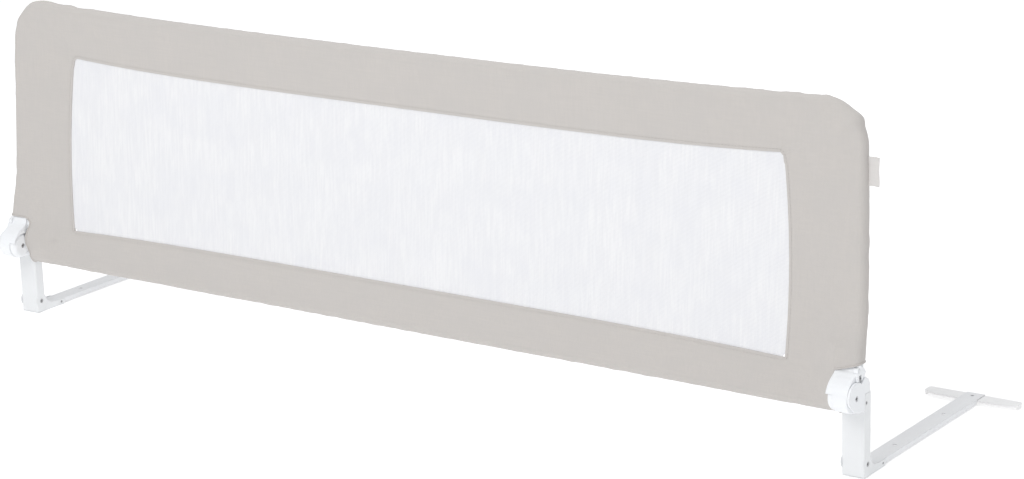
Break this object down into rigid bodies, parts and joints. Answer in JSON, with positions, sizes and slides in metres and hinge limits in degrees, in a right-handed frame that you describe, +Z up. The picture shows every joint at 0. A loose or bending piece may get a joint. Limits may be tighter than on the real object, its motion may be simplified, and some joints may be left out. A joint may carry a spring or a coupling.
{
  "type": "folding bed guard rail",
  "caption": "Folding bed guard rail with a framed fabric panel and net window, hinged posts with sliding latches, and flat arms with cross feet that go under a mattress.",
  "frame": {"origin": "middle of the footprint's box, on the ground under the arms' cross feet", "axes": "+X along the rail to the tag's end, +Y back under the mattress along the arms, +Z up"},
  "size_m": [1.447, 0.3634, 0.4484],
  "materials": {
    "white_steel": "satin white powder coat",
    "white_plastic": "fine matte moulded",
    "grey_plastic": "matte moulded",
    "zinc_steel": "zinc plated",
    "tube_steel": "plain drawn tube",
    "cover_cloth": "plain woven greige cloth",
    "window_net": "fine white knitted net",
    "tag_cloth": "smooth woven ribbon"
  },
  "bodies": {
    "left_post": {"left_post": "white_steel", "left_hinge_base": "white_plastic", "left_hinge_base_rivet": "zinc_steel", "left_hinge_pin": "zinc_steel", "left_foot_rivet": "zinc_steel"},
    "rail": {"left_knuckle": "white_plastic", "left_lock_spring": "zinc_steel", "left_side_tube": "tube_steel", "left_bottom_tube": "tube_steel", "right_knuckle": "white_plastic", "right_lock_spring": "zinc_steel", "right_side_tube": "tube_steel", "right_bottom_tube": "tube_steel", "top_tube": "tube_steel", "middle_bottom_tube": "tube_steel", "fabric_cover": "cover_cloth", "mesh_window": "window_net", "side_tag": "tag_cloth"},
    "right_post": {"right_post": "white_steel", "right_hinge_base": "white_plastic", "right_hinge_base_rivet": "zinc_steel", "right_hinge_pin": "zinc_steel", "right_foot_rivet": "zinc_steel"},
    "left_arm": {"left_foot_bracket": "white_steel", "left_arm_rivet": "zinc_steel", "left_base_arm": "white_steel", "left_cross_foot": "white_steel", "left_cross_foot_screw": "zinc_steel"},
    "left_latch": {"left_lock_slide": "grey_plastic"},
    "right_arm": {"right_foot_bracket": "white_steel", "right_arm_rivet": "zinc_steel", "right_base_arm": "white_steel", "right_cross_foot": "white_steel", "right_cross_foot_screw": "zinc_steel"},
    "right_latch": {"right_lock_slide": "grey_plastic"}
  },
  "joints": [
    {"name": "rail_fold", "type": "hinge", "parent": "left_post", "child": "rail", "pos_m": [-0.6595, -0.16338, 0.1053], "axis": [1, 0, 0], "range_deg": [0, 180]},
    {"name": "right_hinge", "type": "hinge", "parent": "rail", "child": "right_post", "pos_m": [0.6595, -0.16338, 0.1053], "axis": [1, 0, 0], "range_deg": [-180, 0]},
    {"name": "left_arm_fold", "type": "hinge", "parent": "left_post", "child": "left_arm", "pos_m": [-0.6595, -0.13528, 0.0167], "axis": [1, 0, 0], "range_deg": [0, 87]},
    {"name": "right_arm_fold", "type": "hinge", "parent": "right_post", "child": "right_arm", "pos_m": [0.6595, -0.13528, 0.0167], "axis": [1, 0, 0], "range_deg": [0, 87]},
    {"name": "left_latch_slide", "type": "slide", "parent": "rail", "child": "left_latch", "axis": [0, 0, 1], "range_m": [0, 0.0045], "stiffness_N_per_m": 250, "springref_m": -0.004, "deforming": ["left_lock_spring"]},
    {"name": "right_latch_slide", "type": "slide", "parent": "rail", "child": "right_latch", "axis": [0, 0, 1], "range_m": [0, 0.0045], "stiffness_N_per_m": 250, "springref_m": -0.004, "deforming": ["right_lock_spring"]}
  ],
  "couplings": [
    {"joint": "right_hinge", "follows": "rail_fold", "ratio": -1}
  ]
}
